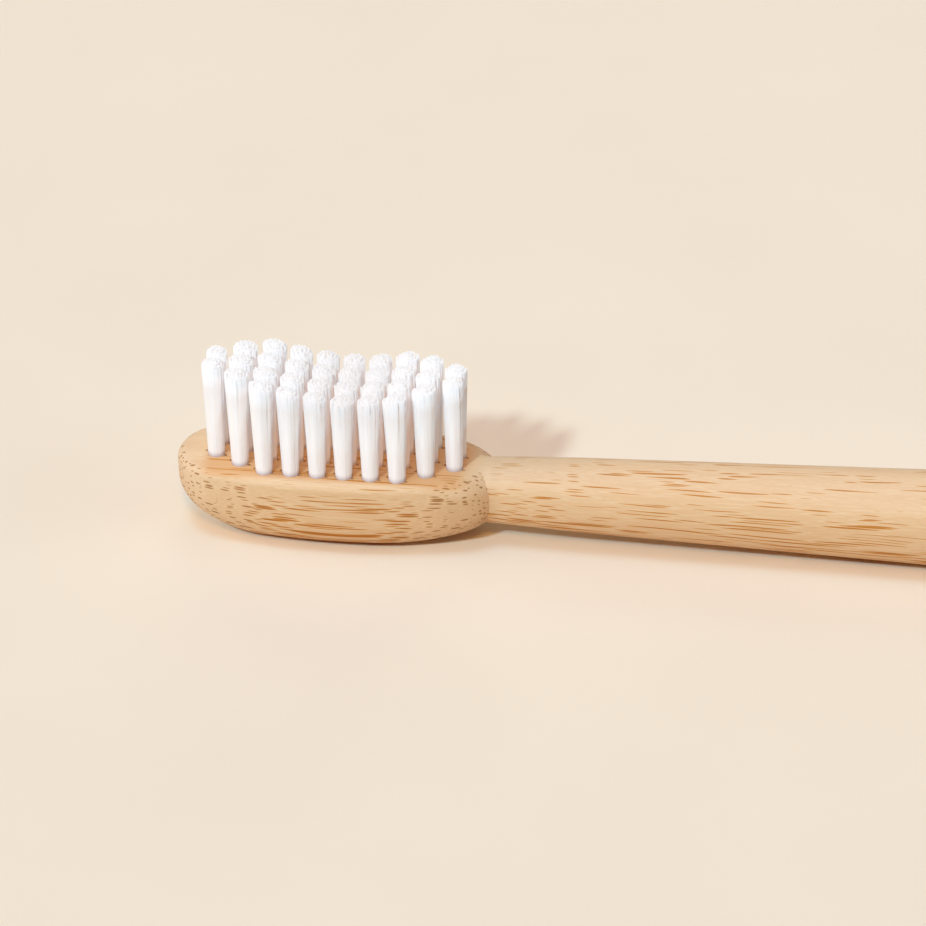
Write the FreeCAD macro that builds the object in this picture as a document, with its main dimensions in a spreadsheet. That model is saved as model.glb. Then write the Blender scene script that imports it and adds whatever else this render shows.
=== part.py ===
import FreeCAD, Part
import Sketcher
import os
from collections import namedtuple
from FreeCAD import Vector

# A manual toothbrush of turned bamboo. Head, neck and grip are one piece of bamboo. The head is drilled,
# and each hole holds a tuft of nylon filaments, folded round a flat anchor wire and trimmed to a wave.
# X runs from the tip of the head to the butt, Y across the head, and Z up from the surface it lies on.

# Tufts in each column, from the tip of the head towards the neck, and the sides of a bundle of bristles
ROWS_IN_COLUMN = (2, 3, 4, 4, 4, 4, 4, 4, 3, 2)
LAST_COLUMN = len(ROWS_IN_COLUMN) - 1
MOST_ROWS = max(ROWS_IN_COLUMN)
FEWEST_ROWS = min(ROWS_IN_COLUMN)
BUNDLE_SIDES = 10

# Driving dimensions in millimetres, and the turn of the anchor wires in degrees
SIZES = {
    # Turned handle
    "overall_length": 180.0,
    "grip_diameter": 9.0,
    "taper_length": 37.7,
    "neck_diameter": 6.7,
    "neck_length": 7.35,
    "neck_depth": 3.25,
    "neck_root_diameter": 5.32,
    # Carved head
    "head_thickness": 7.25,
    "head_end_radius": 4.6,
    "back_flat_radius": 1.3,
    "face_rounding": 0.8,
    "toe_rocker": 8.35,
    "toe_lift": 3.55,
    "heel_rocker": 11.15,
    "heel_lift": 2.2,
    "toe_margin": 3.75,
    "heel_margin": 4.35,
    "side_margin": 2.125,
    # Drilled holes
    "hole_diameter": 1.6,
    "hole_depth": 3.4,
    "hole_wall": 0.85,
    "end_hole_wall": 0.52,
    # Tufts
    "tuft_clearance": 0.02,
    "tip_gap": 0.15,
    "valley_height": 8.3,
    "valley_offset": 1.2,
    "toe_rise": 1.6,
    "heel_rise": 1.15,
    # Anchor wires
    "wire_thickness": 0.3,
    "wire_height": 1.3,
    "wire_bite": 0.3,
    "wire_turn": -20.0,
    "fold_depth": 0.4,
    # How far a cutter runs past what it cuts
    "overrun": 1.0,
}

# Sizes and places worked out from the driving dimensions
WORKED = {
    # Tuft field and plan of the head
    "tuft_pitch": "=Sizes.hole_diameter + Sizes.hole_wall",
    "end_pitch": "=Sizes.hole_diameter + Sizes.end_hole_wall",
    "field_length": f"={LAST_COLUMN} * tuft_pitch",
    "field_x": "=Sizes.toe_margin + (field_length - Sizes.overall_length) / 2",
    "half_length": "=(field_length + Sizes.toe_margin + Sizes.heel_margin) / 2",
    "half_width": f"={MOST_ROWS - 1} * tuft_pitch / 2 + Sizes.side_margin",
    "head_x": "=half_length - Sizes.overall_length / 2",
    "heel_x": "=head_x + half_length",
    # Oval of four tangent arcs: reach of the end centres, radius of the sides, and the points of tangency
    "end_reach": "=half_length - Sizes.head_end_radius",
    "side_radius": "=(end_reach ^ 2 + half_width ^ 2 - Sizes.head_end_radius ^ 2)"
                   " / (2 * (half_width - Sizes.head_end_radius))",
    "end_share": "=Sizes.head_end_radius / (side_radius - Sizes.head_end_radius)",
    "tangent_x": "=end_reach * (1 + end_share)",
    "tangent_y": "=(side_radius - half_width) * end_share",
    "back_rounding": "=Sizes.head_end_radius - Sizes.back_flat_radius",
    # Rockers that lift the back towards both ends: radii, starts, and ends a little past the head
    "toe_x": "=head_x - half_length",
    "toe_rocker_radius": "=(Sizes.toe_rocker ^ 2 + Sizes.toe_lift ^ 2) / (2 * Sizes.toe_lift)",
    "toe_rocker_run": "=(3 * Sizes.toe_rocker + toe_rocker_radius) / 4",
    "toe_rocker_rise": "=toe_rocker_radius - sqrt(toe_rocker_radius ^ 2 - toe_rocker_run ^ 2)",
    "heel_rocker_radius": "=(Sizes.heel_rocker ^ 2 + Sizes.heel_lift ^ 2) / (2 * Sizes.heel_lift)",
    "heel_rocker_run": "=(3 * Sizes.heel_rocker + heel_rocker_radius) / 4",
    "heel_rocker_rise": "=heel_rocker_radius - sqrt(heel_rocker_radius ^ 2 - heel_rocker_run ^ 2)",
    # Turned profile: radii and places along the axis
    "grip_radius": "=Sizes.grip_diameter / 2",
    "neck_radius": "=Sizes.neck_diameter / 2",
    "face_level": "=Sizes.head_thickness - grip_radius",
    "neck_root_radius": "=Sizes.neck_root_diameter / 2",
    "neck_root_x": "=heel_x - Sizes.neck_depth",
    "taper_start_x": "=heel_x + Sizes.neck_length",
    "grip_start_x": "=taper_start_x + Sizes.taper_length",
    "butt_x": "=Sizes.overall_length / 2",
    "dome_x": "=butt_x - grip_radius",
    # Tufts and anchor wires in their holes
    "hole_floor": "=Sizes.head_thickness - Sizes.hole_depth",
    "root_radius": "=Sizes.hole_diameter / 2 - Sizes.tuft_clearance",
    "root_depth": "=Sizes.hole_depth - Sizes.tuft_clearance",
    "tip_radius": "=(tuft_pitch - Sizes.tip_gap) / 2",
    "end_tip_radius": "=(min(tuft_pitch; end_pitch) - Sizes.tip_gap) / 2",
    "wire_floor": "=hole_floor + Sizes.fold_depth",
    "groove_height": "=Sizes.hole_depth - Sizes.fold_depth + Sizes.overrun",
    "wire_length": "=Sizes.hole_diameter + 2 * Sizes.wire_bite",
    "wire_corner_x": "=(wire_length * cos(Sizes.wire_turn * 1deg)"
                     " - Sizes.wire_thickness * sin(Sizes.wire_turn * 1deg)) / 2",
    "wire_corner_y": "=(wire_length * sin(Sizes.wire_turn * 1deg)"
                     " + Sizes.wire_thickness * cos(Sizes.wire_turn * 1deg)) / 2",
    # Trimming wave: a valley that swells towards the toe and the heel
    "valley_x": "=field_x + Sizes.valley_offset",
    "valley_z": "=Sizes.head_thickness + Sizes.valley_height",
    "toe_run": "=field_length / 2 + Sizes.valley_offset",
    "heel_run": "=field_length / 2 - Sizes.valley_offset",
    "trim_top": "=valley_z + max(Sizes.toe_rise; Sizes.heel_rise) + Sizes.overrun",
    "flare_height": "=trim_top - Sizes.head_thickness",
}

# A tuft's name, its centre as expressions, and whether it stands in a pair at an end
Place = namedtuple("Place", "name x y in_pair")

doc = FreeCAD.newDocument("toothbrush")


def make_sheet(name, cells):
    """Writes a sheet with one named cell for each size."""
    page = doc.addObject("Spreadsheet::Sheet", name)
    for row, (alias, content) in enumerate(cells.items(), start=1):
        page.set(f"A{row}", alias)
        page.set(f"B{row}", str(content))
        page.setAlias(f"B{row}", alias)
    doc.recompute()
    return page


def make(kind, name, sizes):
    """Adds an object whose properties follow expressions in the sheets."""
    item = doc.addObject(kind, name)
    for path, expression in sizes.items():
        item.setExpression(path, expression)
    return item


def cut(name, base, tool):
    """Cuts one object by another."""
    result = doc.addObject("Part::Cut", name)
    result.Base = base
    result.Tool = tool
    return result


def add_feature(body, kind, name, profile, sizes):
    """Adds a feature that is made from a sketch to a body."""
    feature = body.newObject(kind, name)
    feature.Profile = profile
    for path, expression in sizes.items():
        feature.setExpression(path, expression)
    return feature


def sketch_on(body, role, name):
    """Starts a sketch on one of the body's own origin planes."""
    sketch = body.newObject("Sketcher::SketchObject", name)
    plane = next(item for item in body.Origin.OriginFeatures if item.Role == role)
    sketch.AttachmentSupport = [(plane, "")]
    sketch.MapMode = "FlatFace"
    return sketch


def dimension(sketch, name, kind, geometry, point, expression):
    """Adds a named dimension and binds it to an expression."""
    value = sketch.evalExpression(expression)
    if kind == "Radius":
        index = sketch.addConstraint(Sketcher.Constraint(kind, geometry, value))
    else:
        index = sketch.addConstraint(Sketcher.Constraint(kind, geometry, point, value))
    sketch.renameConstraint(index, name)
    sketch.setExpression(f"Constraints.{name}", expression)


def arc_between(start, end, radius, side):
    """Gives the short arc from start to end with its centre on the left (1) or the right (-1)."""
    chord = end - start
    normal = Vector(-chord.y, chord.x, 0).normalize()
    reach = max(radius ** 2 - (chord.Length / 2) ** 2, 0) ** 0.5
    centre = (start + end) / 2 + normal * reach * side
    first, last = (start, end) if side > 0 else (end, start)
    circle = Part.Circle(centre, Vector(0, 0, 1), radius)
    return Part.ArcOfCircle(circle, circle.parameter(first), circle.parameter(last))


def draw_outline(sketch, corners):
    """Draws a closed outline. A corner is a name, x, y, and the radius and side of an arc to the next."""
    points = [Vector(*(sketch.evalExpression(value) for value in corner[1:3]), 0) for corner in corners]
    edges = []
    for index, (name, x, y, radius, side) in enumerate(corners):
        start = points[index]
        end = points[(index + 1) % len(points)]
        if radius:
            piece = arc_between(start, end, sketch.evalExpression(radius), side)
        else:
            piece = Part.LineSegment(start, end)
        ends = (2, 1) if radius and side < 0 else (1, 2)
        edges.append((sketch.addGeometry(piece, False), *ends))
    for index, (name, x, y, radius, side) in enumerate(corners):
        edge, first, last = edges[index]
        before, _, before_last = edges[index - 1]
        sketch.addConstraint(Sketcher.Constraint("Coincident", before, before_last, edge, first))
        dimension(sketch, f"{name}_x", "DistanceX", edge, first, x)
        dimension(sketch, f"{name}_y", "DistanceY", edge, first, y)
        if radius:
            dimension(sketch, f"{name}_arc", "Radius", edge, None, radius)


def round_edges(body, name, base, picked, radius):
    """Rounds the edges of a feature that a test picks."""
    edges = [f"Edge{index}" for index, edge in enumerate(base.Shape.Edges, start=1) if picked(edge)]
    fillet = body.newObject("PartDesign::Fillet", name)
    fillet.Base = (base, edges)
    fillet.setExpression("Radius", radius)
    doc.recompute()
    return fillet


def column_x(column):
    """Gives the place of a column of tufts along the brush, with the first column as 0."""
    return f"Worked.field_x + ({column - LAST_COLUMN / 2}) * Worked.tuft_pitch"


def tuft_places():
    """Yields the place of each tuft. The pairs at both ends stand closer together than the rest."""
    for column, count in enumerate(ROWS_IN_COLUMN):
        in_pair = count == FEWEST_ROWS
        pitch = "Worked.end_pitch" if in_pair else "Worked.tuft_pitch"
        for row in range(count):
            y = f"({row - (count - 1) / 2}) * {pitch}"
            yield Place(f"c{column + 1:02d}_r{row + 1}", column_x(column), y, in_pair)


def rocker_outline(end, start_x, way):
    """Gives the outline under a rocker that rises from start_x towards the toe (-) or the heel (+)."""
    end_x = f"{start_x} {way} Worked.{end}_rocker_run"
    side = 1 if way == "+" else -1
    return [
        (f"{end}_start", start_x, "0", f"Worked.{end}_rocker_radius", side),
        (f"{end}_end", end_x, f"Worked.{end}_rocker_rise", None, 0),
        (f"{end}_below", end_x, "-Sizes.overrun", None, 0),
        (f"{end}_start_below", start_x, "-Sizes.overrun", None, 0),
    ]


def carve_head(body):
    """Pads the oval head up from its back, lifts the back towards both ends and rounds the edges."""
    plan = sketch_on(body, "XY_Plane", "head_plan")
    plan.setExpression("AttachmentOffset.Base.z", "-Worked.grip_radius")
    heel = "Worked.head_x + Worked.tangent_x"
    toe = "Worked.head_x - Worked.tangent_x"
    draw_outline(plan, [
        ("heel_left", heel, "Worked.tangent_y", "Worked.side_radius", 1),
        ("toe_left", toe, "Worked.tangent_y", "Sizes.head_end_radius", 1),
        ("toe_right", toe, "-Worked.tangent_y", "Worked.side_radius", 1),
        ("heel_right", heel, "-Worked.tangent_y", "Sizes.head_end_radius", 1),
    ])
    add_feature(body, "PartDesign::Pad", "head", plan, {"Length": "Sizes.head_thickness"})
    rockers = sketch_on(body, "XZ_Plane", "rocker_profile")
    rockers.setExpression("AttachmentOffset.Base.y", "-Worked.grip_radius")
    draw_outline(rockers, rocker_outline("toe", "Worked.toe_x + Sizes.toe_rocker", "-"))
    draw_outline(rockers, rocker_outline("heel", "Worked.heel_x - Sizes.heel_rocker", "+"))
    lifted = add_feature(body, "PartDesign::Pocket", "rockers", rockers, {
        "Length": "2 * (Worked.half_width + Sizes.overrun)",
    })
    lifted.SideType = "Symmetric"
    doc.recompute()
    under_face = lifted.evalExpression("Worked.face_level") - Part.Precision.confusion()
    back = round_edges(
        body, "head_back", lifted,
        lambda edge: edge.BoundBox.ZMax < under_face and not isinstance(edge.Curve, Part.Line),
        "Worked.back_rounding",
    )
    return round_edges(
        body, "head_face", back,
        lambda edge: edge.BoundBox.ZMin > under_face,
        "Sizes.face_rounding",
    )


def turn_handle(body):
    """Turns the neck, taper, grip and domed butt about the brush's long axis."""
    profile = sketch_on(body, "XZ_Plane", "handle_profile")
    draw_outline(profile, [
        ("root_axis", "Worked.neck_root_x", "0", None, 0),
        ("butt", "Worked.butt_x", "0", "Worked.grip_radius", 1),
        ("dome", "Worked.dome_x", "Worked.grip_radius", None, 0),
        ("grip_start", "Worked.grip_start_x", "Worked.grip_radius", None, 0),
        ("taper_start", "Worked.taper_start_x", "Worked.neck_radius", None, 0),
        ("neck_root", "Worked.neck_root_x", "Worked.neck_root_radius", None, 0),
    ])
    handle = add_feature(body, "PartDesign::Revolution", "turned_handle", profile, {})
    handle.ReferenceAxis = (profile, ["H_Axis"])
    return handle


def drill_holes(body):
    """Drills a blind hole for each tuft into the bristle face."""
    plan = sketch_on(body, "XY_Plane", "hole_plan")
    plan.setExpression("AttachmentOffset.Base.z", "Worked.face_level")
    radius = plan.evalExpression("Sizes.hole_diameter / 2")
    for place in tuft_places():
        centre = Vector(plan.evalExpression(place.x), plan.evalExpression(place.y), 0)
        hole = plan.addGeometry(Part.Circle(centre, Vector(0, 0, 1), radius), False)
        dimension(plan, f"{place.name}_x", "DistanceX", hole, 3, place.x)
        dimension(plan, f"{place.name}_y", "DistanceY", hole, 3, place.y)
        dimension(plan, f"{place.name}_radius", "Radius", hole, None, "Sizes.hole_diameter / 2")
    return add_feature(body, "PartDesign::Pocket", "tuft_holes", plan, {"Length": "Sizes.hole_depth"})


def make_blank():
    """Makes the bamboo piece with its drilled holes."""
    body = doc.addObject("PartDesign::Body", "bamboo_blank")
    carve_head(body)
    turned = turn_handle(body)
    doc.recompute()
    solid_volume = turned.Shape.Volume
    holes = drill_holes(body)
    doc.recompute()
    if holes.Shape.Volume >= solid_volume:
        raise RuntimeError("the tuft holes cut nothing")
    body.setExpression("Placement.Base.z", "Worked.grip_radius")
    return body


def wave_level(x):
    """Gives the level of the trimming wave at x. It swells from its valley towards the toe and the heel."""
    on_toe_side = f"{x} < Worked.valley_x"
    run = f"({on_toe_side} ? Worked.toe_run : Worked.heel_run)"
    rise = f"({on_toe_side} ? Sizes.toe_rise : Sizes.heel_rise)"
    return f"Worked.valley_z + {rise} * (1 - cos(180deg * ({x} - Worked.valley_x) / {run})) / 2"


def make_trim():
    """Makes the block of air above the trimmed bristles, with one flat cut for each column of tufts."""
    body = doc.addObject("PartDesign::Body", "trim_block")
    wave = sketch_on(body, "XZ_Plane", "trim_wave")
    edges = [column_x(column - 0.5) for column in range(len(ROWS_IN_COLUMN) + 1)]
    draw_outline(wave, [
        *((f"edge_{index}", x, wave_level(x), None, 0) for index, x in enumerate(edges)),
        ("heel_top", edges[-1], "Worked.trim_top", None, 0),
        ("toe_top", edges[0], "Worked.trim_top", None, 0),
    ])
    block = add_feature(body, "PartDesign::Pad", "trim", wave, {"Length": "2 * Worked.half_width"})
    block.SideType = "Symmetric"
    return body


def make_wire(name, place, height):
    """Makes a flat wire on edge across a hole, or a taller cutter for the groove that it leaves."""
    return make("Part::Box", f"{name}_{place.name}", {
        "Length": "Worked.wire_length",
        "Width": "Sizes.wire_thickness",
        "Height": height,
        "Placement.Rotation.Angle": "Sizes.wire_turn * 1deg",
        "Placement.Base.x": f"{place.x} - Worked.wire_corner_x",
        "Placement.Base.y": f"{place.y} - Worked.wire_corner_y",
        "Placement.Base.z": "Worked.wire_floor",
    })


def gather(name, items):
    """Groups separate solids as one object."""
    group = doc.addObject("Part::Compound", name)
    group.Links = items
    return group


def make_bundle(name, tip_radius):
    """Makes a bundle of bristles, straight in its hole and spread above it, with the mouth at the origin."""
    body = doc.addObject("PartDesign::Body", name)
    outline = sketch_on(body, "XY_Plane", f"{name}_outline")
    angles = [f"{corner} * 360deg / {BUNDLE_SIDES}" for corner in range(BUNDLE_SIDES)]
    draw_outline(outline, [
        (f"corner_{corner}",
         f"Worked.root_radius * cos({angle})", f"Worked.root_radius * sin({angle})", None, 0)
        for corner, angle in enumerate(angles)
    ])
    flare = add_feature(body, "PartDesign::Pad", f"{name}_flare", outline, {"Length": "Worked.flare_height"})
    doc.recompute()
    spread = body.newObject("PartDesign::Draft", f"{name}_spread")
    spread.Base = (flare, [
        f"Face{index}" for index, face in enumerate(flare.Shape.Faces, start=1)
        if face.BoundBox.ZLength > Part.Precision.confusion()
    ])
    spread.NeutralPlane = outline.AttachmentSupport[0]
    spread.Reversed = True
    lean = f"({tip_radius} - Worked.root_radius) * cos(180deg / {BUNDLE_SIDES}) / Worked.flare_height"
    spread.setExpression("Angle", f"atan({lean})")
    root = add_feature(body, "PartDesign::Pad", f"{name}_root", outline, {"Length": "Worked.root_depth"})
    root.Reversed = True
    return body


def make_tuft(place, bundle, wire, trim):
    """Sets a copy of a bundle into its hole, trims its tips to the wave and folds it under its wire."""
    copy = gather(f"bundle_{place.name}", [bundle])
    copy.setExpression("Placement.Base.x", place.x)
    copy.setExpression("Placement.Base.y", place.y)
    copy.setExpression("Placement.Base.z", "Sizes.head_thickness")
    trimmed = cut(f"trimmed_{place.name}", copy, trim)
    return cut(f"tuft_{place.name}", trimmed, wire)


def check(parts):
    """Stops the build if an object failed or a piece has no valid shape."""
    failed = [item.Name for item in doc.Objects if {"Invalid", "Error"} & set(item.State)]
    failed += [item.Label for item in parts if item.Shape.isNull() or not item.Shape.isValid()]
    if failed:
        raise RuntimeError(f"failed objects: {failed}")


make_sheet("Sizes", SIZES)
make_sheet("Worked", WORKED)

blank = make_blank()
trim = make_trim()
bundle = make_bundle("bundle", "Worked.tip_radius")
end_bundle = make_bundle("end_bundle", "Worked.end_tip_radius")
wires = []
grooves = []
tufts = []
for place in tuft_places():
    wires.append(make_wire("wire", place, "Sizes.wire_height"))
    grooves.append(make_wire("groove", place, "Worked.groove_height"))
    tufts.append(make_tuft(place, end_bundle if place.in_pair else bundle, wires[-1], trim))
handle = cut("handle", blank, gather("wire_grooves", grooves))
parts = [handle, gather("anchor_wires", wires), *tufts]

doc.recompute()
check(parts)
os.makedirs("parts", exist_ok=True)
for part in parts:
    part.Shape.exportStep(f"parts/{part.Label}.step")
    print(part.Label, len(part.Shape.Solids), round(part.Shape.Volume, 3))
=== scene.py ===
# %% [markdown]
# # A bamboo toothbrush, dressed for a portrait
# The CAD model gives every piece its true place and size. This lesson loads it as a fixed frame and then
# builds what the eye needs: smooth turned bamboo with its fibres, and tufts made of single nylon filaments.

# %% Load the frame
import math

import bpy
import numpy as np
from mathutils import Matrix, Vector


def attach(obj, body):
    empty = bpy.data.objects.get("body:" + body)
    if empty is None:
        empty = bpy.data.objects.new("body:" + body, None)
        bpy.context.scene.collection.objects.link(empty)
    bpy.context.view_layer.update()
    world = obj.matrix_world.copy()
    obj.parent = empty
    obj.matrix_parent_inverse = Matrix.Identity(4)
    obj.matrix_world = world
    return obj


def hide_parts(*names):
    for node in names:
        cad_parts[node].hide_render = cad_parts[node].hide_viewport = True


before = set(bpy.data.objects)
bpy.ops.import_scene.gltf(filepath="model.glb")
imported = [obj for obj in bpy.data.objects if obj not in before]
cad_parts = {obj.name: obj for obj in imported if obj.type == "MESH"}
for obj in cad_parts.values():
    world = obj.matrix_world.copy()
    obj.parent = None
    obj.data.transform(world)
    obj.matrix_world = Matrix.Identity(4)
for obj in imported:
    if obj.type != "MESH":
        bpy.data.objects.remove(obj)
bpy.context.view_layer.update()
MM = 0.001

# %% [markdown]
# ## Camera
# The photograph looks down on the head through a long lens from about half a metre. A camera can be placed
# by eye, but here its height, turn, tilt and distance came from matching the grid of tuft holes, so the three
# directions of its frame are worked out from those angles.

# %% Place the camera
LENS, SENSOR = 206.05, 36.0
NEAREST, FARTHEST = 0.01, 20
AIM = Vector((-63.557, -0.179, 7.25)) * MM
DISTANCE = 483.55 * MM
ELEVATION, YAW, ROLL = (math.radians(angle) for angle in (31.953, 8.855, -1.0986))

level_right = Vector((math.cos(YAW), math.sin(YAW), 0))
level_ahead = Vector((-math.sin(YAW), math.cos(YAW), 0))
ahead = level_ahead * math.cos(ELEVATION) - Vector((0, 0, math.sin(ELEVATION)))
level_up = level_ahead * math.sin(ELEVATION) + Vector((0, 0, math.cos(ELEVATION)))
right = level_right * math.cos(ROLL) + level_up * math.sin(ROLL)
up = level_up * math.cos(ROLL) - level_right * math.sin(ROLL)

bpy.ops.object.select_all(action="DESELECT")
bpy.ops.object.camera_add()
camera = bpy.context.object
camera.name = "portrait_camera"
camera.data.lens, camera.data.sensor_width = LENS, SENSOR
camera.data.clip_start, camera.data.clip_end = NEAREST, FARTHEST
turn = Matrix((right, up, -ahead)).transposed().to_4x4()
camera.matrix_world = Matrix.Translation(AIM - ahead * DISTANCE) @ turn
bpy.context.scene.camera = camera
print("camera at", tuple(round(value, 3) for value in camera.location))

# %% [markdown]
# ## Shader sums
# A material is a graph of nodes. Long graphs read better as sums, so one small class wraps an output socket:
# `1 - mask` or `noise * 0.2` adds the Math node that it stands for, and `make` adds any other node.

# %% Wrap a socket
class Signal:
    """An output socket that can be used in Python sums."""

    def __init__(self, socket):
        self.socket = socket
        self.tree = socket.id_data

    def make(self, kind, settings, inputs, output=0):
        """Adds a node, sets it up, feeds its sockets and gives one of its outputs."""
        node = self.tree.nodes.new(kind)
        for name, value in settings.items():
            setattr(node, name, value)
        for name, value in inputs.items():
            if isinstance(value, Signal):
                self.tree.links.new(value.socket, node.inputs[name])
            else:
                node.inputs[name].default_value = value
        return Signal(node.outputs[output])

    def beside(self, output):
        """Gives another output of the same node."""
        return Signal(self.socket.node.outputs[output])

    def math(self, operation, first, second=0.0):
        return self.make("ShaderNodeMath", {"operation": operation}, {0: first, 1: second})

    def __add__(self, other):
        return self.math("ADD", self, other)

    def __mul__(self, other):
        return self.math("MULTIPLY", self, other)

    def __sub__(self, other):
        return self.math("SUBTRACT", self, other)

    def __rsub__(self, other):
        return self.math("SUBTRACT", other, self)

    def __abs__(self):
        return self.math("ABSOLUTE", self)

    __radd__ = __add__
    __rmul__ = __mul__

    def step(self, low, high):
        """Rises smoothly from 0 at low to 1 at high. With low above high it falls."""
        return self.make("ShaderNodeMapRange", {"interpolation_type": "SMOOTHSTEP"},
                         {"Value": self, "From Min": low, "From Max": high})

    def fade(self, low, high):
        """Steps between two places that are given in millimetres."""
        return self.step(low * MM, high * MM)

    def axes(self):
        """Splits a place or a direction into its three numbers."""
        first = self.make("ShaderNodeSeparateXYZ", {}, {0: self})
        return first, first.beside(1), first.beside(2)

    def scaled(self, x, y, z):
        """Stretches a place along the axes."""
        return self.make("ShaderNodeVectorMath", {"operation": "MULTIPLY"}, {0: self, 1: (x, y, z)})

    def noise(self, scale, detail):
        """Reads a noise at this place."""
        return self.make("ShaderNodeTexNoise", {}, {"Vector": self, "Scale": scale, "Detail": detail})

    def mix(self, low, high):
        """Blends two colours, with this signal as the share of the second."""
        return self.make("ShaderNodeMix", {"data_type": "RGBA"}, {0: self, 6: low, 7: high}, 2)


def colour(*levels):
    """Turns a colour that a screen shows, each level from 11 to 255, into the linear light of a shader."""
    return (*(((level / 255 + 0.055) / 1.055) ** 2.4 for level in levels), 1)


def start_material(name):
    """Makes a material and gives its shader and the places on the piece."""
    material = bpy.data.materials.new(name)
    material.use_nodes = True
    shader = material.node_tree.nodes["Principled BSDF"]
    place = Signal(material.node_tree.nodes.new("ShaderNodeTexCoord").outputs["Object"])
    return material, shader, place


def feed(shader, **values):
    """Links signals to the shader's sockets or sets plain values, with an underscore for a space."""
    for name, value in values.items():
        socket = shader.inputs[name.replace("_", " ")]
        if isinstance(value, Signal):
            value.tree.links.new(value.socket, socket)
        else:
            socket.default_value = value


print("shader sums ready")

# %% [markdown]
# ## Floor and light
# The brush lies on smooth cream card. Two lamps make the photograph's two shadows: one low at the front left,
# which throws the bristles' shadow over the card behind, and one overhead, which leaves the soft strip in
# front of the handle. A lamp near the camera keeps that strip light, and its own shadow hides behind the
# brush. Wide lamps at the sides and the back and a glowing ceiling stand in for a pale room. The shadows are
# warm, so the lamps that make them are cool and the rest is warm: together they are white. Each share was
# found by rendering every lamp alone and fitting their sum. Sun lamps light every piece alike, and their
# angle softens the shadow's edge.

# %% Lay the card
FLOOR_SIZE = 4
CARD_DEEP, CARD_PALE = colour(240, 226, 208), colour(242, 228, 210)
bpy.ops.object.select_all(action="DESELECT")
bpy.ops.mesh.primitive_plane_add(size=FLOOR_SIZE)
floor = bpy.context.object
floor.name = "card_floor"
card, card_shader, card_place = start_material("cream_card")
card_tone = card_place.noise(40, 3).step(0.3, 0.7)
feed(card_shader, Base_Color=card_tone.mix(CARD_DEEP, CARD_PALE), Roughness=0.85, Specular_IOR_Level=0.2)
floor.data.materials.append(card)
print("floor", tuple(floor.dimensions))

# %% Light the room
ROOM_LIGHT = np.array([0.58, 0.26, 0.24])
CEILING_EDGE = (0.70, 0.80)
BOUNCES = 12


def add_sun(name, towards, share, spread):
    """Adds a lamp far away that gives the floor this share of red, green and blue."""
    bpy.ops.object.select_all(action="DESELECT")
    bpy.ops.object.light_add(type="SUN", location=towards)
    lamp = bpy.context.object
    lamp.name = name
    lamp.rotation_mode = "QUATERNION"
    lamp.rotation_quaternion = Vector(towards).to_track_quat("Z", "Y")
    strength = np.array(share) * math.pi / Vector(towards).normalized().z
    lamp.data.energy = strength.max()
    lamp.data.color = strength / strength.max()
    lamp.data.angle = math.radians(spread)
    print(name, "energy", round(lamp.data.energy, 3))


add_sun("front_lamp", (-0.30, -0.65, 0.643), (0.245, 0.335, 0.375), 5)
add_sun("camera_lamp", (0.10, -0.635, 0.766), (0.18, 0.11, 0.04), 8)
add_sun("overhead_lamp", (-0.14, -0.10, 0.98), (0.06, 0.17, 0.26), 20)
add_sun("left_lamp", (-0.85, -0.10, 0.52), (0.14, 0.12, 0.09), 40)
add_sun("right_lamp", (0.85, -0.10, 0.52), (0.04, 0.06, 0.06), 40)
add_sun("back_lamp", (0.0, 0.85, 0.52), (0.08, 0.09, 0.07), 40)
room = bpy.data.worlds.new("warm_room")
room.use_nodes = True
sky_direction = Signal(room.node_tree.nodes.new("ShaderNodeTexCoord").outputs["Generated"])
ceiling = sky_direction.axes()[2].step(*CEILING_EDGE)
feed(room.node_tree.nodes["Background"], Color=(*(ROOM_LIGHT / ROOM_LIGHT.max()), 1),
     Strength=ceiling * ROOM_LIGHT.max())
bpy.context.scene.world = room
bpy.context.scene.view_settings.view_transform = "Standard"
bpy.context.scene.cycles.diffuse_bounces = BOUNCES
print("room light", ROOM_LIGHT)

# %% [markdown]
# ## Bamboo
# Bamboo has no rings. Brown bundles of fibres run straight along the culm through paler flesh, so the surface
# shows how it was cut: long stripes where it runs with the fibres, short tapered streaks where the handle
# narrows, and dots round the tip of the head. A picture wrapped round the brush could not do that. Here the
# bundles are a solid pattern: needle-shaped cells, nearly endless along X, which the surface cuts open. They
# thicken towards the back of this brush, where painted shade also makes the wood darker and browner. Painted
# shade makes the wood between the tufts and at the heel browner; the tip of the head is a little paler.

# %% Lay the fibres
BUNDLES_PER_METRE, LOOSENESS = 3800.0, 0.8
WANDER = 0.5 * MM
DRIFT_ASIDE, DRIFT_UP, FLATNESS = 0.006, 0.004, 0.75
bamboo, bamboo_shader, place = start_material("bamboo")
wander = place.scaled(110, 500, 500).noise(1.0, 1.0).beside("Color")
bent = wander.make("ShaderNodeVectorMath", {"operation": "MULTIPLY_ADD"},
                   {0: wander, 1: (0, WANDER, WANDER), 2: place})
along, aside, level = bent.axes()
across = along.make("ShaderNodeCombineXYZ", {}, {0: (aside - along * DRIFT_ASIDE) * FLATNESS,
                                                 1: level + along * DRIFT_UP})
bundle = across.make("ShaderNodeTexVoronoi", {"voronoi_dimensions": "2D"},
                     {"Vector": across, "Scale": BUNDLES_PER_METRE, "Randomness": LOOSENESS})
luck = bundle.make("ShaderNodeSeparateColor", {}, {0: bundle.beside("Color")})
stretch = bent.scaled(80, 1500, 1500).noise(1.0, 1.0)
print("bundles every", round(1 / BUNDLES_PER_METRE / MM, 2), "mm")

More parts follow.
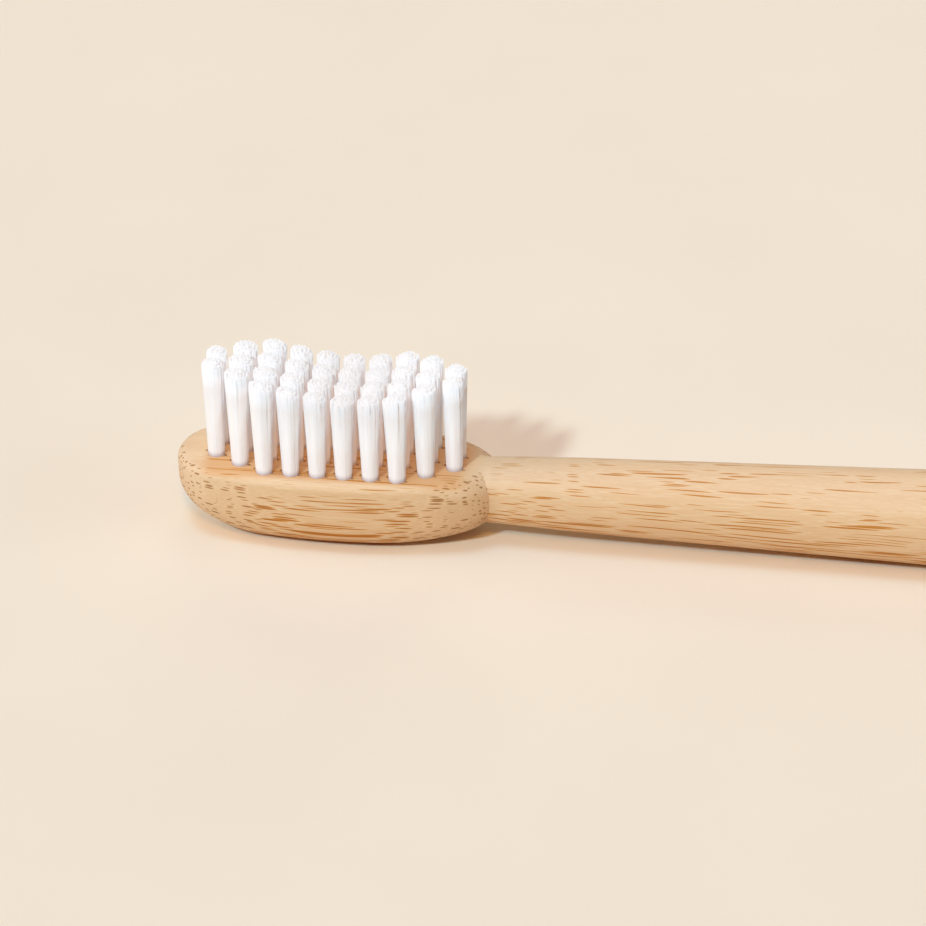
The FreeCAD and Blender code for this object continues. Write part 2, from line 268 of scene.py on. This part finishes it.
# %% Mark the regions
CUT_ACROSS = (0.08, 0.22)
LOWER_SIDE_DEPTH, FACE_EDGE = (9.0, 1.0), (6.0, 7.0)
HEAD_END, HEEL_WALL, TOE_WALL = (-59.6, -61.2), (-66.5, -63.5), (-85.0, -88.5)
FIELD_TOE, FIELD_HEEL, FIELD_SIDE, FIELD_FLOOR = (-88.0, -86.2), (-62.2, -64.0), (4.9, 4.1), (7.0, 7.2)
steep = abs(place.beside("Normal").axes()[0]).step(*CUT_ACROSS)
# painted shade: towards the back of the brush the wood is painted darker and browner, and the bundles thicken
lower_fibres_and_shade = level.fade(*LOWER_SIDE_DEPTH)
head = along.fade(*HEAD_END)
face = head * level.fade(*FACE_EDGE)
# painted shade: the heel of the head, which faces away from the lamps, is painted browner
heel = along.fade(*HEEL_WALL) * head * (1 - face)
toe = along.fade(*TOE_WALL) * steep
# painted shade: the wood between the tufts is painted browner and more streaked, as the deep shade there
between = along.fade(*FIELD_TOE) * along.fade(*FIELD_HEEL) * level.fade(*FIELD_FLOOR)
between = between * abs(aside).fade(*FIELD_SIDE)
print("marked bark, head, face, heel, toe and the wood between the tufts")

# %% Cut the bundles open
SHEATH_EDGE, CORE_EDGE = (0.23, 0.16), (0.12, 0.05)
HALO_INSIDE, HALO_OUTSIDE = (0.24, 0.30), (0.42, 0.34)
# A bundle comes and goes along its run, and each has its own luck, which counts most where it is cut across.
thinner = (0.5 - stretch) * (0.7 - steep * 0.5) + (0.55 - luck) * (0.12 + steep * 0.35)
# The bundles thicken towards the back, and between the tufts as part of the painted shade there.
thinner = thinner + (0.07 - lower_fibres_and_shade * (0.16 + head * 0.07) + face * 0.12 - between * 0.19) * (1 - steep)
from_core = bundle + thinner
sheath = from_core.step(*SHEATH_EDGE)
core = from_core.step(*CORE_EDGE)
halo = from_core.step(*HALO_INSIDE) * from_core.step(*HALO_OUTSIDE)
print("fibre nodes", len(bamboo.node_tree.nodes))

# %% Mix the bamboo
FLESH_DEEP, FLESH_PALE = colour(226, 187, 146), colour(234, 202, 166)
LOWER_SHADE_TAN, GRAIN_PALE, SPECK_TAN = colour(210, 158, 100), colour(238, 209, 174), colour(214, 170, 122)
HALO_PALE, FIELD_SHADE_TAN = colour(240, 214, 180), colour(218, 155, 91)
HEEL_SHADE_TAN, TOE_PALE = colour(190, 142, 98), colour(234, 205, 176)
SHEATH_STRIPE, SHEATH_DOT = colour(205, 137, 54), colour(184, 131, 76)
CORE_STRIPE, CORE_DOT = colour(177, 101, 28), colour(148, 100, 54)
DENT_DEPTH = 0.06 * MM
flesh = bent.scaled(14, 420, 420).noise(1.0, 3.0).step(0.3, 0.72)
grain = bent.scaled(90, 5200, 5200).noise(1.0, 2.0).step(0.25, 0.75)
speck = place.scaled(1500, 6000, 6000).noise(1.0, 2.0).step(0.35, 0.7)
tan = flesh.mix(FLESH_DEEP, FLESH_PALE)
# painted shade: the back of the brush is painted darker and browner
tan = (lower_fibres_and_shade * 0.45).mix(tan, LOWER_SHADE_TAN)
tan = (grain * 0.25).mix(tan, GRAIN_PALE)
tan = (speck * 0.2).mix(tan, SPECK_TAN)
tan = (halo * 0.3).mix(tan, HALO_PALE)
# painted shade between the tufts
tan = (between * 0.55).mix(tan, FIELD_SHADE_TAN)
# painted shade at the heel
tan = (heel * 0.27).mix(tan, HEEL_SHADE_TAN)
tan = (toe * 0.35).mix(tan, TOE_PALE)
# Streaks are painted stronger towards the back and between the tufts, as part of the painted shade there.
strength = 0.64 + lower_fibres_and_shade * 0.34 + steep * 0.05 + between * 0.3 + (1 - lower_fibres_and_shade) * (1 - head) * 0.2
tan = (sheath * strength).mix(tan, steep.mix(SHEATH_STRIPE, SHEATH_DOT))
tan = (core * (0.4 + lower_fibres_and_shade * 0.35)).mix(tan, steep.mix(CORE_STRIPE, CORE_DOT))
dent = tan.make("ShaderNodeBump", {}, {"Strength": 0.4, "Distance": DENT_DEPTH,
                                       "Height": 1 - core * 0.7 - sheath * 0.3 + grain * 0.15})
feed(bamboo_shader, Base_Color=tan, Roughness=sheath * 0.1 + 0.55, Normal=dent, Specular_IOR_Level=0.3)
print("bamboo nodes", len(bamboo.node_tree.nodes))

# %% [markdown]
# ## Head of the handle
# The head is an oval of four arcs, rounded at the face and rolled up at the back, like the end of a canoe.
# The operators that round an edge can't follow a back that curves as well, so its sections are worked out the
# way a ball-nosed cutter would leave them, and laid as rings of points from the face down to the back.

# %% Draw the oval
TOE_X, HEEL_X, HALF_WIDTH = -90.0, -59.85, 5.798
HEAD_X, HALF_LENGTH = (TOE_X + HEEL_X) / 2, (HEEL_X - TOE_X) / 2
END_RADIUS, BACK_ROUNDING, FACE_Z = 4.6, 3.3, 7.25
END_POINTS, SIDE_POINTS = 20, 36
end_reach = HALF_LENGTH - END_RADIUS
side_radius = (end_reach ** 2 + HALF_WIDTH ** 2 - END_RADIUS ** 2) / (2 * (HALF_WIDTH - END_RADIUS))
side_angle = math.atan2(end_reach, side_radius - HALF_WIDTH)


def oval_side():
    """Gives places and outward directions along one side of the oval, from the toe to the heel."""
    angles = np.concatenate([
        np.linspace(math.pi, math.pi / 2 + side_angle, END_POINTS, endpoint=False),
        np.linspace(math.pi / 2 + side_angle, math.pi / 2 - side_angle, SIDE_POINTS, endpoint=False),
        np.linspace(math.pi / 2 - side_angle, 0, END_POINTS + 1),
    ])
    outward = np.stack([np.cos(angles), np.sin(angles)], 1)
    on_toe = np.arange(len(angles)) < END_POINTS
    on_heel = np.arange(len(angles)) >= END_POINTS + SIDE_POINTS
    on_end = on_toe | on_heel
    centre_x = np.where(on_toe, HEAD_X - end_reach, np.where(on_heel, HEAD_X + end_reach, HEAD_X))
    centre_y = np.where(on_end, 0, HALF_WIDTH - side_radius)
    radius = np.where(on_end, END_RADIUS, side_radius)
    return np.stack([centre_x, centre_y], 1) + outward * radius[:, None], outward


left, left_out = oval_side()
print("oval", len(left), "points a side, widest", round(left[:, 1].max(), 3))

# %% Roll the back
TOE_ROCKER, HEEL_ROCKER = (-81.65, 11.595), (-71.0, 29.36)
FACE_ROUNDING, HEEL_SOFTENING, HEEL_REACH = 0.8, 1.6, 7.0
WALL_LEFT = 0.1
ROUND_STEPS, BALL_STEPS, BACK_STEPS = 8, 10, 10


def rocker_at(x):
    """Gives the start and the radius of the rocker under x, or none on the flat of the back."""
    if x < TOE_ROCKER[0]:
        return TOE_ROCKER
    return HEEL_ROCKER if x > HEEL_ROCKER[0] else None


def ball_column(point, out):
    """Gives the points from the face's edge down the wall and round the ball to the back."""
    column = []
    nearness = min(max(1 - (HEEL_X - point[0]) / HEEL_REACH, 0), 1)
    rounding = FACE_ROUNDING + HEEL_SOFTENING * nearness ** 2 * (3 - 2 * nearness)
    centre = point - out * BACK_ROUNDING
    rocker = rocker_at(centre[0])
    height, down = BACK_ROUNDING, np.array([0.0, 0.0, -1.0])
    if rocker:
        start, radius = rocker
        height = radius - math.sqrt((radius - BACK_ROUNDING) ** 2 - (centre[0] - start) ** 2)
        down = np.array([centre[0] - start, 0, height - radius]) / (radius - BACK_ROUNDING)
    rounding = min(rounding, FACE_Z - height - WALL_LEFT)
    for step in range(ROUND_STEPS + 1):
        angle = math.pi / 2 * (1 - step / ROUND_STEPS)
        inset = rounding * (1 - math.cos(angle))
        column.append((*(point - out * inset), FACE_Z - rounding * (1 - math.sin(angle))))
    wall = np.array([*out, 0.0])
    spread = math.acos(np.clip(wall @ down, -1, 1))
    for step in range(BALL_STEPS + 1):
        share = step / BALL_STEPS
        aim = (math.sin((1 - share) * spread) * wall + math.sin(share * spread) * down) / math.sin(spread)
        column.append(tuple(np.array([*centre, height]) + BACK_ROUNDING * aim))
    return column


columns = np.array([ball_column(point, out) for point, out in zip(left, left_out)])
print("head columns", columns.shape)

# %% Skin the head
def skin_head(columns):
    """Joins the columns of both sides round the oval and closes the face and the back."""
    mirrored = columns[1:-1][::-1] * (1, -1, 1)
    ring = np.concatenate([columns, mirrored])
    count, levels = ring.shape[:2]
    points = [tuple(point) for column in ring for point in column]
    faces = []
    for i in range(count):
        here, there = i * levels, (i + 1) % count * levels
        faces += [(here + k, here + k + 1, there + k + 1, there + k) for k in range(levels - 1)]
    faces.append(tuple(i * levels for i in range(count)))
    last = len(columns) - 1
    rows = []
    for i in range(last + 1):
        near = i * levels + levels - 1
        if i in (0, last):
            rows.append([near] * (BACK_STEPS + 1))
            continue
        far = (count - i) * levels + levels - 1
        row = [near]
        for step in range(1, BACK_STEPS):
            x, y, z = points[near]
            points.append((x, y * (1 - 2 * step / BACK_STEPS), z))
            row.append(len(points) - 1)
        rows.append(row + [far])
    for row, following in zip(rows, rows[1:]):
        for k in range(BACK_STEPS):
            corners = dict.fromkeys((row[k], row[k + 1], following[k + 1], following[k]))
            faces.append(tuple(corners))
    return points, faces


def pick(*pieces):
    """Selects these pieces alone and makes the first one active."""
    bpy.ops.object.select_all(action="DESELECT")
    for piece in pieces:
        piece.select_set(True)
    bpy.context.view_layer.objects.active = pieces[0]


def add_piece(name, points, faces):
    """Makes an object from points in millimetres, with its faces turned outwards."""
    mesh = bpy.data.meshes.new(name)
    mesh.from_pydata([Vector(point) * MM for point in points], [], faces)
    piece = bpy.data.objects.new(name, mesh)
    bpy.context.scene.collection.objects.link(piece)
    pick(piece)
    bpy.ops.object.mode_set(mode="EDIT")
    bpy.ops.mesh.select_all(action="SELECT")
    bpy.ops.mesh.normals_make_consistent(inside=False)
    bpy.ops.object.mode_set(mode="OBJECT")
    return piece


handle = add_piece("handle_bamboo", *skin_head(columns))
print("head", len(handle.data.polygons), "faces")

# %% [markdown]
# ## Neck, taper and grip
# The rest of the handle is turned on a lathe, so a spin makes it: half of its outline is drawn from the
# neck to the domed butt and spun once round the long axis. Close to the head the neck is a little squarer
# than a circle, so its rings are pushed out there. A boolean joins it to the head and leaves the crisp
# crease that the photograph shows at the neck.

# %% Spin the grip
AXIS_Z, GRIP_RADIUS, DOME_X = 4.5, 4.5, 85.5
NECK_X, NECK_RADIUS, NECK_SLOPE = -63.1, 2.66, 0.065
NECK_RINGS, RING_PITCH = 5, 2.0
TAPER = ((-52.5, 3.35), (-14.8, GRIP_RADIUS))
DOME_STEPS, SPIN_STEPS, SEAM_GAP = 12, 64, 0.001
outline = [(NECK_X, 0.0)]
outline += [(NECK_X + ring * RING_PITCH, NECK_RADIUS + ring * RING_PITCH * NECK_SLOPE)
            for ring in range(NECK_RINGS)]
outline += TAPER
outline += [(DOME_X + GRIP_RADIUS * math.sin(angle), GRIP_RADIUS * math.cos(angle))
            for angle in np.linspace(0, math.pi / 2, DOME_STEPS + 1)]
grip = add_piece("turned_grip", [(x, 0, AXIS_Z + radius) for x, radius in outline], [])
grip.data.edges.add(len(outline) - 1)
for index, edge in enumerate(grip.data.edges):
    edge.vertices = (index, index + 1)
bpy.ops.object.mode_set(mode="EDIT")
bpy.ops.mesh.select_all(action="SELECT")
bpy.ops.mesh.spin(steps=SPIN_STEPS, angle=2 * math.pi, center=(0, 0, AXIS_Z * MM), axis=(1, 0, 0))
bpy.ops.mesh.select_all(action="SELECT")
bpy.ops.mesh.remove_doubles(threshold=SEAM_GAP * MM)
bpy.ops.mesh.normals_make_consistent(inside=False)
bpy.ops.object.mode_set(mode="OBJECT")
print("turned", len(grip.data.polygons), "faces")

# %% Square the neck
SQUARE_END, SQUARENESS = -50.0, 0.8
for vertex in grip.data.vertices:
    share = min(max((SQUARE_END - vertex.co.x / MM) / (SQUARE_END - NECK_X), 0), 1)
    power = 2 + SQUARENESS * share
    side, height = vertex.co.y, vertex.co.z - AXIS_Z * MM
    reach = math.hypot(side, height)
    if share and reach:
        swell = (abs(side / reach) ** power + abs(height / reach) ** power) ** (-1 / power)
        vertex.co.y, vertex.co.z = side * swell, AXIS_Z * MM + height * swell
print("neck squared up to", SQUARE_END, "mm")

# %% Drill the holes
ROWS = (2, 3, 4, 4, 4, 4, 4, 4, 3, 2)
PITCH, END_PITCH, FIELD_X = 2.45, 2.12, -75.225
HOLE_RADIUS, HOLE_FLOOR, WIRE_FLOOR = 0.8, 3.85, 4.25
WIRE_LENGTH, WIRE_THICKNESS, WIRE_TURN = 2.2, 0.3, math.radians(-20)
CUT_TOP, DRILL_SIDES = 8.0, 32


def tuft_places():
    """Yields each tuft's name, its centre and whether it ends the field, column by column from the toe."""
    for column, count in enumerate(ROWS):
        is_end = count == min(ROWS)
        pitch = END_PITCH if is_end else PITCH
        x = FIELD_X + (column - (len(ROWS) - 1) / 2) * PITCH
        for row in range(count):
            yield f"tuft_c{column + 1:02d}_r{row + 1}", x, (row - (count - 1) / 2) * pitch, is_end


def cut_with(target, cutter, operation):
    """Joins or cuts a piece with another one and removes that."""
    pick(target)
    change = target.modifiers.new("cut", "BOOLEAN")
    change.operation, change.object, change.solver = operation, cutter, "EXACT"
    bpy.ops.object.modifier_apply(modifier=change.name)
    bpy.data.objects.remove(cutter)


def join(pieces, name):
    """Joins pieces into the first one."""
    pick(*pieces)
    bpy.ops.object.join()
    pieces[0].name = name
    return pieces[0]


cut_with(handle, grip, "UNION")
drills, slots = [], []
for _, x, y, _ in tuft_places():
    bpy.ops.object.select_all(action="DESELECT")
    depth = CUT_TOP - HOLE_FLOOR
    bpy.ops.mesh.primitive_cylinder_add(vertices=DRILL_SIDES, radius=HOLE_RADIUS * MM, depth=depth * MM,
                                        location=Vector((x, y, HOLE_FLOOR + depth / 2)) * MM)
    drills.append(bpy.context.object)
    depth = CUT_TOP - WIRE_FLOOR
    bpy.ops.mesh.primitive_cube_add(size=1, location=Vector((x, y, WIRE_FLOOR + depth / 2)) * MM,
                                    rotation=(0, 0, WIRE_TURN),
                                    scale=Vector((WIRE_LENGTH, WIRE_THICKNESS, depth)) * MM)
    slots.append(bpy.context.object)
cut_with(handle, join(drills, "drills"), "DIFFERENCE")
cut_with(handle, join(slots, "slots"), "DIFFERENCE")
print("handle", len(handle.data.polygons), "faces")

# %% Finish the handle
SAME_CORNER, CREASE = 0.0005, math.radians(30)
pick(handle)
bpy.ops.object.mode_set(mode="EDIT")
bpy.ops.mesh.select_all(action="SELECT")
bpy.ops.mesh.remove_doubles(threshold=SAME_CORNER * MM)
bpy.ops.object.mode_set(mode="OBJECT")
bpy.ops.object.shade_smooth_by_angle(angle=CREASE)
handle.data.materials.clear()
handle.data.materials.append(bamboo)
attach(handle, "root")
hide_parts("handle")
low_corner, high_corner = ([round(value / MM, 2) for value in handle.bound_box[corner]] for corner in (0, 6))
print("handle from", low_corner, "to", high_corner)

# %% [markdown]
# ## Nylon
# Nylon filament is milky: light enters one side and leaves the other, which is why a tuft looks soft and
# brightest at its tips. Scattering inside thousands of thin tubes is slow to render, so a tint that pales
# with height and a faint glow stand in for it. Deep inside the field the light has met the wood on its way,
# so the glow is warmer there, and the foot of each tuft is shaded by its hole.

# %% Mix the nylon
MILK_LOW, MILK_MIDDLE, MILK_TIP = colour(230, 217, 216), colour(232, 222, 219), colour(253, 249, 250)
MILK_STREAK, HOLE_SHADE = colour(242, 235, 232), colour(160, 132, 136)
GLOW, GLOW_LOW, GLOW_HIGH = 0.14, colour(199, 167, 136), colour(199, 192, 188)
GLOW_INSIDE = colour(255, 190, 125)
MIDDLE_RISE, TIP_RISE, FOOT_SHADE = (7.0, 12.5), (14.0, 16.5), (7.9, 7.0)
INSIDE_SIDE, INSIDE_TOP, INSIDE_TOE, INSIDE_HEEL = (2.8, 1.8), (15.0, 11.8), (-83.5, -82.0), (-66.9, -68.4)
nylon, nylon_shader, nylon_place = start_material("nylon")
nylon_along, nylon_aside, nylon_level = nylon_place.axes()
streak = nylon_place.scaled(3000, 3000, 60).noise(1.0, 2.0).step(0.3, 0.7)
middle, tip, foot = (nylon_level.fade(*rise) for rise in (MIDDLE_RISE, TIP_RISE, FOOT_SHADE))
inside = abs(nylon_aside).fade(*INSIDE_SIDE) * nylon_level.fade(*INSIDE_TOP)
inside = inside * nylon_along.fade(*INSIDE_TOE) * nylon_along.fade(*INSIDE_HEEL)
milk = tip.mix(middle.mix(MILK_LOW, MILK_MIDDLE), MILK_TIP)
milk = (streak * 0.35).mix(milk, MILK_STREAK)
feed(nylon_shader, Base_Color=(foot * 0.9).mix(milk, HOLE_SHADE), Roughness=0.42,
     Emission_Color=inside.mix(middle.mix(GLOW_LOW, GLOW_HIGH), GLOW_INSIDE), Emission_Strength=GLOW)
print("nylon nodes", len(nylon.node_tree.nodes))

# %% [markdown]
# ## Tufts
# Each tuft is a bundle of filaments that are folded in half round a flat anchor wire and pulled into a hole.
# One filament is modelled as a closed tube of a few rings. Every copy is then bent along its own path: from
# one tip down into the hole, under the wire and up to the other tip, where both are trimmed to the wave. The
# legs swell towards the tips, which closes the gaps that splaying opens. Their normals lean towards those of
# the whole tuft and upwards, which evens the light out as milky nylon does.

# %% Model one filament
SIDES, FILAMENT = 5, 0.075
OUTER_LEG, INNER_LEG = (1, 1, 1, 1.4, 1.8, 1.8, 1.2), (1, 1, 1.1, 1.6, 2.1, 2.0, 1.2)
PATH_RINGS = 2 * len(OUTER_LEG) + 1
bpy.ops.object.select_all(action="DESELECT")
bpy.ops.mesh.primitive_circle_add(vertices=SIDES, radius=FILAMENT * MM, fill_type="NGON")
filament = bpy.context.object
bpy.ops.object.mode_set(mode="EDIT")
bpy.ops.mesh.select_all(action="SELECT")
for ring in range(PATH_RINGS - 1):
    bpy.ops.mesh.extrude_region_move(TRANSFORM_OT_translate={"value": (0, 0, MM)})
bpy.ops.mesh.select_all(action="SELECT")
bpy.ops.mesh.normals_make_consistent(inside=False)
bpy.ops.object.mode_set(mode="OBJECT")
ring_of = np.array([round(vertex.co.z / MM) for vertex in filament.data.vertices])
angle_of = np.array([math.atan2(vertex.co.y, vertex.co.x) for vertex in filament.data.vertices])
tube_faces = [tuple(polygon.vertices) for polygon in filament.data.polygons]
bpy.data.objects.remove(filament)
print("filament", len(ring_of), "points,", len(tube_faces), "faces")

# %% Route the filaments
VALLEY_X, VALLEY_Z = FIELD_X + 1.2, 15.55
TOE_RUN, TOE_RISE, HEEL_RUN, HEEL_RISE = 12.225, 1.6, 9.825, 1.15
TRIM_TOP, BOX_TOP, WIRE_TOP = 18.15, 17.09, 5.55
MOUTH_RADIUS = HOLE_RADIUS - 0.02
FOLD_RINGS, RING_JITTER = ((0.70, 18), (0.50, 12), (0.29, 6), (0.10, 2)), 0.12
LEG_SHARES, TIP_OVERHANG = (0.35, 0.8, 0.96, 1.0), 1.3
DOME, DOME_POWER = 0.4, 4
NO_LENGTH = 1e-6
dice = np.random.default_rng(7)


def wave_level(x):
    """Gives the level to which the bristles at x are trimmed."""
    run, rise = (TOE_RUN, TOE_RISE) if x < VALLEY_X else (HEEL_RUN, HEEL_RISE)
    return VALLEY_Z + rise * (1 - math.cos(math.pi * (x - VALLEY_X) / run)) / 2


def half_disc():
    """Spreads points over half a disc in rings, and gives them along and away from the wire."""
    along_wire, away = [], []
    for reach, count in FOLD_RINGS:
        turns = (np.arange(count) + 0.5 + dice.uniform(-RING_JITTER, RING_JITTER, count)) * math.pi / count
        along_wire.extend(reach * np.cos(turns))
        away.extend(reach * np.sin(turns))
    return np.array(along_wire), np.array(away)


def leg_path(x, y, along_wire, away, side, tip_radius, lean, bow, length):
    """Gives the places of one leg of a filament, from the wire's foot up to its tip."""
    widest = MOUTH_RADIUS - FILAMENT
    clear = WIRE_THICKNESS / 2 + FILAMENT
    beside_wire = clear + away * (widest - clear) / MOUTH_RADIUS
    axis = np.array([math.cos(WIRE_TURN), math.sin(WIRE_TURN)])
    sideways = np.array([-axis[1], axis[0]]) * side
    reach_left = math.sqrt(max(widest ** 2 - beside_wire ** 2, 0))
    squeeze = min(1.0, reach_left / max(abs(along_wire), NO_LENGTH))
    foot = along_wire * squeeze * axis + beside_wire * sideways
    mouth = along_wire * axis + away * sideways
    flare = (tip_radius / widest - 1) / (TRIM_TOP - FACE_Z)
    points = [(*foot, WIRE_FLOOR), (*foot, WIRE_TOP), (*mouth, FACE_Z)]
    sunk = DOME * (math.hypot(along_wire, away) / MOUTH_RADIUS) ** DOME_POWER
    top = min(wave_level(x + mouth[0] * TIP_OVERHANG) + length - sunk, BOX_TOP)
    for share in LEG_SHARES:
        level = FACE_Z + share * (top - FACE_Z)
        spread = mouth * (1 + flare * (level - FACE_Z)) + lean * share ** 2 + bow * math.sin(math.pi * share)
        points.append((*spread, level))
    return np.array(points) + (x, y, 0)


print("wave from", round(wave_level(FIELD_X - TOE_RUN), 2), "down to", VALLEY_Z, "mm")

# %% Bend the filaments
SOFTNESS, SIDEWAYS, UPWARDS = 0.85, 0.7, 0.55
TIP_LIFT = (1.6, 0.9, 0.3)


def bend_filament(path, thickness):
    """Places the tube's rings along a path, and gives the directions out of the tube too."""
    along_path = np.gradient(path, axis=0)
    along_path /= np.linalg.norm(along_path, axis=1)[:, None]
    axis = np.array([math.cos(WIRE_TURN), math.sin(WIRE_TURN), 0])
    first = axis - along_path * (along_path @ axis)[:, None]
    first /= np.linalg.norm(first, axis=1)[:, None]
    second = np.cross(along_path, first)
    swing = np.cos(angle_of)[:, None] * first[ring_of] + np.sin(angle_of)[:, None] * second[ring_of]
    return path[ring_of] + swing * thickness[ring_of, None], swing


def soft_normals(placed, swing, x, y):
    """Turns normals up, and outer ones towards those of the whole tuft, as light that soaks in would."""
    from_axis = (placed - (x, y, 0)) * (1, 1, 0)
    from_axis /= np.linalg.norm(from_axis, axis=1)[:, None] + NO_LENGTH
    outer = np.clip((swing * from_axis).sum(1), 0, 1)[:, None]
    hull = from_axis * outer * SIDEWAYS + np.array([0, 0, UPWARDS])
    from_tip = np.minimum(ring_of, PATH_RINGS - 1 - ring_of)
    lift = np.array([*TIP_LIFT, *np.zeros(PATH_RINGS)])[from_tip]
    blended = swing * (1 - SOFTNESS) + hull * SOFTNESS + lift[:, None] * (0, 0, 1)
    return blended / np.linalg.norm(blended, axis=1)[:, None]


print("normals lean upwards by", UPWARDS)

# %% Plant the tufts
TIP_RADIUS, END_TIP_RADIUS = 1.1, 0.935
LEAN, BOW = 0.05, 0.012
LONGEST, TRIM_SCATTER, FOLD_SCATTER = 0.02, 0.09, 0.2


def plant_tuft(name, x, y, is_end):
    """Makes one tuft of folded filaments."""
    tip_radius = (END_TIP_RADIUS if is_end else TIP_RADIUS) - FILAMENT
    points, normals, faces = [], [], []
    for index, (along_wire, away) in enumerate(zip(*half_disc())):
        legs = []
        for side in (1, -1):
            lean = dice.normal(0, LEAN, 2)
            bow = dice.normal(0, BOW, 2)
            length = LONGEST - abs(dice.normal(0, TRIM_SCATTER))
            legs.append(leg_path(x, y, along_wire, away, side, tip_radius, lean, bow, length))
        fold = (legs[0][0] + legs[1][0]) / 2
        fold[2] = WIRE_FLOOR - FILAMENT - dice.uniform(0.0, FOLD_SCATTER)
        path = np.concatenate([legs[0][::-1], [fold], legs[1]])
        faces += [tuple(corner + len(points) for corner in face) for face in tube_faces]
        leg = OUTER_LEG if index < FOLD_RINGS[0][1] else INNER_LEG
        placed, swing = bend_filament(path, FILAMENT * np.array([*leg[::-1], 1, *leg]))
        points += placed.tolist()
        normals += soft_normals(placed, swing, x, y).tolist()
    tuft = add_piece(f"{name}_filaments", points, faces)
    bpy.ops.object.shade_smooth()
    tuft.data.normals_split_custom_set_from_vertices(normals)
    return tuft


for name, x, y, is_end in tuft_places():
    tuft = plant_tuft(name, x, y, is_end)
    tuft.data.materials.append(nylon)
    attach(tuft, "root")
    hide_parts(name)
print("tufts planted, last one", len(tuft.data.polygons), "faces")

# %% [markdown]
# ## Anchor wires
# The flat wires sit deep in the holes. Their CAD shape is right, so they only need drawn steel: bright, with
# fine lines along the wire.

# %% Draw the wire's finish
STEEL_DEEP, STEEL_PALE = colour(196, 190, 178), colour(222, 217, 206)
steel, steel_shader, steel_place = start_material("drawn_wire")
lines = steel_place.scaled(400, 400, 9000).noise(1.0, 2.0)
feed(steel_shader, Base_Color=lines.step(0.3, 0.7).mix(STEEL_DEEP, STEEL_PALE), Roughness=lines * 0.2 + 0.25,
     Metallic=1.0)
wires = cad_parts["anchor_wires"]
wires.data.materials.clear()
wires.data.materials.append(steel)
print("wires", len(wires.data.polygons), "faces")
